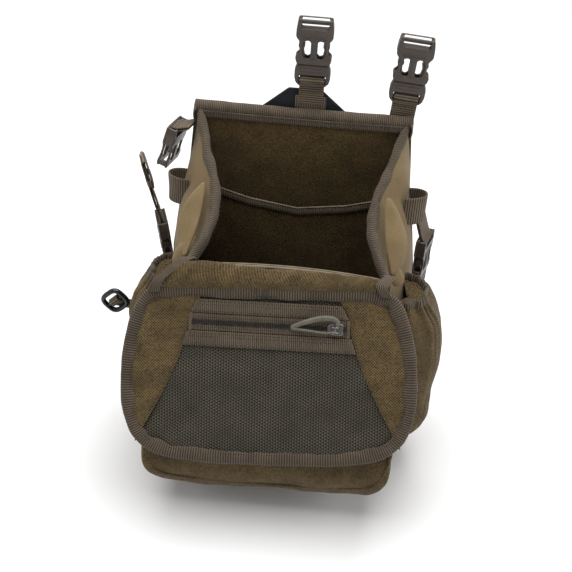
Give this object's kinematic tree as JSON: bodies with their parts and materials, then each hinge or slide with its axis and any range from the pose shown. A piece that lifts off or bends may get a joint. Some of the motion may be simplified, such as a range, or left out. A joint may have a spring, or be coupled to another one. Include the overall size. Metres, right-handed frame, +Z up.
{
  "type": "binocular harness pack",
  "caption": "Padded chest pack for a binocular, with a forward-folding lid that holds a zipped mesh pocket, side and front pockets, webbing loops and buckled harness straps.",
  "frame": {"origin": "on the back pad's flat rear face, on the pack's centre line, half way up the back", "axes": "+X to the wearer's left, +Y out of the back pad into the wearer's chest, +Z up"},
  "size_m": [0.2822, 0.1974, 0.3382],
  "materials": {
    "body_cloth": "brushed",
    "lining": "plush",
    "burlap": "coarse weave",
    "grosgrain": "ribbed",
    "webbing": "woven",
    "mesh": "open mesh",
    "pad_mesh": "spacer mesh",
    "stiffener": "matt",
    "yoke_cloth": "smooth",
    "coil": "matt",
    "slider_metal": "satin",
    "pull_rubber": "matt",
    "clip_plastic": "gloss",
    "buckle_plastic": "satin"
  },
  "bodies": {
    "pack": {"back_lining": "lining", "back_pad": "pad_mesh", "back_panel": "body_cloth", "back_stiffener": "stiffener", "base_panel": "body_cloth", "centre_web": "webbing", "clip_web": "webbing", "ear_left": "body_cloth", "ear_right": "body_cloth", "front_panel": "body_cloth", "front_piping": "grosgrain", "front_pocket": "burlap", "hinge_cloth": "body_cloth", "left_web": "webbing", "lower_left_web": "webbing", "lower_right_web": "webbing", "pocket_mouth_left": "grosgrain", "pocket_mouth_right": "grosgrain", "rear_sleeve": "lining", "right_web": "webbing", "rim_binding_back": "grosgrain", "rim_binding_left": "grosgrain", "rim_binding_right": "grosgrain", "side_loop_left": "webbing", "side_loop_right": "webbing", "side_panel_left": "body_cloth", "side_panel_right": "body_cloth", "side_pocket_left": "burlap", "side_pocket_right": "burlap", "side_strip_left": "grosgrain", "side_strip_right": "grosgrain", "side_wing_left": "grosgrain", "side_wing_right": "grosgrain", "sleeve_binding": "grosgrain", "yoke": "yoke_cloth"},
    "lid": {"lid_shell": "burlap", "lid_binding": "grosgrain", "lid_mesh": "mesh", "lid_panel_left": "burlap", "lid_panel_right": "burlap", "zip_band_upper": "grosgrain", "zip_band_lower": "grosgrain", "zip_tapes": "grosgrain", "zip_coil": "coil"},
    "zip_slider": {"zip_slider": "slider_metal"},
    "zip_pull": {"zip_pull": "pull_rubber"},
    "centre_male": {"centre_male": "buckle_plastic"},
    "centre_female": {"centre_female": "buckle_plastic"},
    "left_male": {"left_male": "buckle_plastic"},
    "left_female": {"left_female": "buckle_plastic"},
    "right_female": {"right_female": "buckle_plastic"},
    "lower_left_male": {"lower_left_male": "buckle_plastic"},
    "lower_left_female": {"lower_left_female": "buckle_plastic", "lower_left_tail": "webbing"},
    "lower_right_male": {"lower_right_male": "buckle_plastic"},
    "lower_right_female": {"lower_right_female": "buckle_plastic", "lower_right_tail": "webbing", "strap_keeper": "grosgrain"},
    "gear_clip": {"gear_clip": "clip_plastic"}
  },
  "joints": [
    {"name": "lid_hinge", "type": "hinge", "parent": "pack", "child": "lid", "pos_m": [0, -0.1215, 0.0406], "axis": [1, 0, 0], "range_deg": [-200, 0]},
    {"name": "zip_travel", "type": "slide", "parent": "lid", "child": "zip_slider", "axis": [-0.9994, -0.0174, -0.0302], "range_m": [0, 0.104]},
    {"name": "zip_pull_swing", "type": "hinge", "parent": "zip_slider", "child": "zip_pull", "pos_m": [0.04166, -0.14256, 0.01212], "axis": [-0.0349, 0.4997, 0.8655], "range_deg": [0, 170]},
    {"name": "centre_strap_swing", "type": "hinge", "parent": "pack", "child": "centre_male", "pos_m": [0.005, -0.0068, 0.152], "axis": [1, 0, 0], "range_deg": [-80, 40]},
    {"name": "centre_buckle_release", "type": "slide", "parent": "centre_male", "child": "centre_female", "axis": [0, 0, 1], "range_m": [0, 0.028]},
    {"name": "left_strap_swing", "type": "hinge", "parent": "pack", "child": "left_male", "pos_m": [0.08, -0.0052, 0.143], "axis": [0.9968, 0, -0.0797], "range_deg": [-80, 40]},
    {"name": "left_buckle_release", "type": "slide", "parent": "left_male", "child": "left_female", "axis": [0.0797, 0, 0.9968], "range_m": [0, 0.028]},
    {"name": "lower_left_swing", "type": "hinge", "parent": "pack", "child": "lower_left_male", "pos_m": [0.109, -0.019, -0.027], "axis": [0.301, 0.9536, -0.006], "range_deg": [0, 75]},
    {"name": "lower_left_release", "type": "slide", "parent": "lower_left_male", "child": "lower_left_female", "axis": [0.02, 0, 0.9998], "range_m": [0, 0.028]},
    {"name": "lower_right_swing", "type": "hinge", "parent": "pack", "child": "lower_right_male", "pos_m": [-0.1082, -0.019, -0.031], "axis": [0.2955, -0.9544, 0.0418], "range_deg": [0, 75]},
    {"name": "lower_right_release", "type": "slide", "parent": "lower_right_male", "child": "lower_right_female", "axis": [-0.14, 0, 0.9901], "range_m": [0, 0.028]},
    {"name": "right_strap_swing", "type": "hinge", "parent": "pack", "child": "right_female", "pos_m": [-0.101, -0.015, 0.105], "axis": [0.2529, 0.9651, -0.0685], "range_deg": [0, 60]},
    {"name": "gear_clip_swing", "type": "hinge", "parent": "pack", "child": "gear_clip", "pos_m": [-0.14, -0.097, -0.015], "axis": [0.7267, 0, 0.6869], "range_deg": [-100, 0]}
  ]
}
